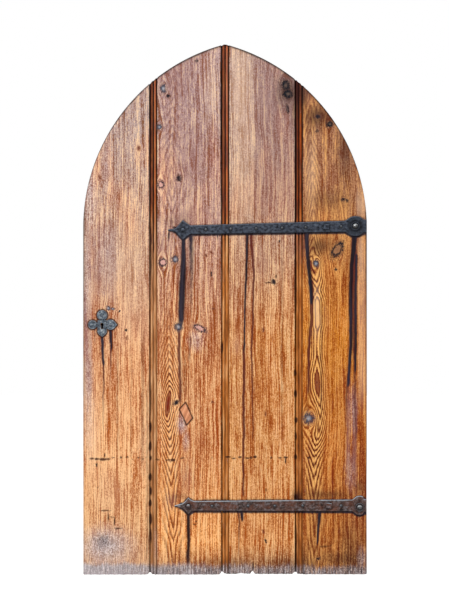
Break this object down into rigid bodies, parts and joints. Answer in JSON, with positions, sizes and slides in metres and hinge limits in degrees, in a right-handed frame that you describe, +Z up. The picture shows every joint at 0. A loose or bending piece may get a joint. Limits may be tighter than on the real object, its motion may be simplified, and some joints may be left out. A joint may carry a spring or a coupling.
{
  "type": "arched plank door",
  "caption": "Pointed-arch ledged and braced door leaf of beaded boards, on two forged strap hinges with pintle hooks, with a keyhole plate and a rim lock.",
  "frame": {"origin": "middle of the leaf's foot, at half the thickness of the boards", "axes": "+X from the lock edge to the hinge edge, +Y from the show face to the ledged back, +Z up along the boards"},
  "size_m": [1.05, 0.2007, 1.9641],
  "materials": {
    "board_wood": "weathered, bare, coarse grain",
    "back_wood": "sawn, bare, dry",
    "patch_wood": "bare, let in",
    "upper_iron": "forged, blackened, blue-grey",
    "lower_iron": "forged, brown rust bloom",
    "plate_iron": "hammered, grey, dull",
    "nail_iron": "forged, dark",
    "pintle_iron": "forged, dark, worn bright at the pin",
    "lock_iron": "blackened sheet",
    "bolt_steel": "filed, dull"
  },
  "bodies": {
    "pintles": {"pintle_upper": "pintle_iron", "pintle_lower": "pintle_iron"},
    "leaf": {"board_hinge_side": "board_wood", "board_inner_left": "board_wood", "board_inner_right": "board_wood", "board_lock_side": "board_wood", "brace_lower": "back_wood", "brace_lower_nails": "nail_iron", "brace_upper": "back_wood", "brace_upper_nails": "nail_iron", "keyhole_plate": "plate_iron", "keyhole_plate_nails": "plate_iron", "ledge_bottom": "back_wood", "ledge_bottom_nails": "nail_iron", "ledge_head": "back_wood", "ledge_head_nails": "nail_iron", "ledge_middle": "back_wood", "ledge_middle_nails": "nail_iron", "ledge_top": "back_wood", "ledge_top_nails": "nail_iron", "lock_case": "lock_iron", "lock_case_screws": "lock_iron", "lock_guide_stud": "lock_iron", "lock_plate": "lock_iron", "lock_screws": "lock_iron", "lock_wards": "lock_iron", "repair_patch": "patch_wood", "strap_lower": "lower_iron", "strap_lower_bolts": "lower_iron", "strap_lower_nails": "lower_iron", "strap_lower_nuts": "lower_iron", "strap_lower_roves": "lower_iron", "strap_lower_spike": "lower_iron", "strap_lower_washer": "lower_iron", "strap_upper": "upper_iron", "strap_upper_bolts": "upper_iron", "strap_upper_nails": "upper_iron", "strap_upper_nuts": "upper_iron", "strap_upper_roves": "upper_iron", "strap_upper_spike": "upper_iron", "strap_upper_washer": "upper_iron"},
    "bolt": {"lock_bolt": "bolt_steel", "lock_bolt_spring": "bolt_steel"}
  },
  "joints": [
    {"name": "door_swing", "type": "hinge", "parent": "pintles", "child": "leaf", "pos_m": [0.51094, 0.03506, 0.257], "axis": [0, 0, 1], "range_deg": [0, 105]},
    {"name": "bolt_slide", "type": "slide", "parent": "leaf", "child": "bolt", "axis": [-1, 0, 0], "range_m": [0, 0.022]}
  ]
}
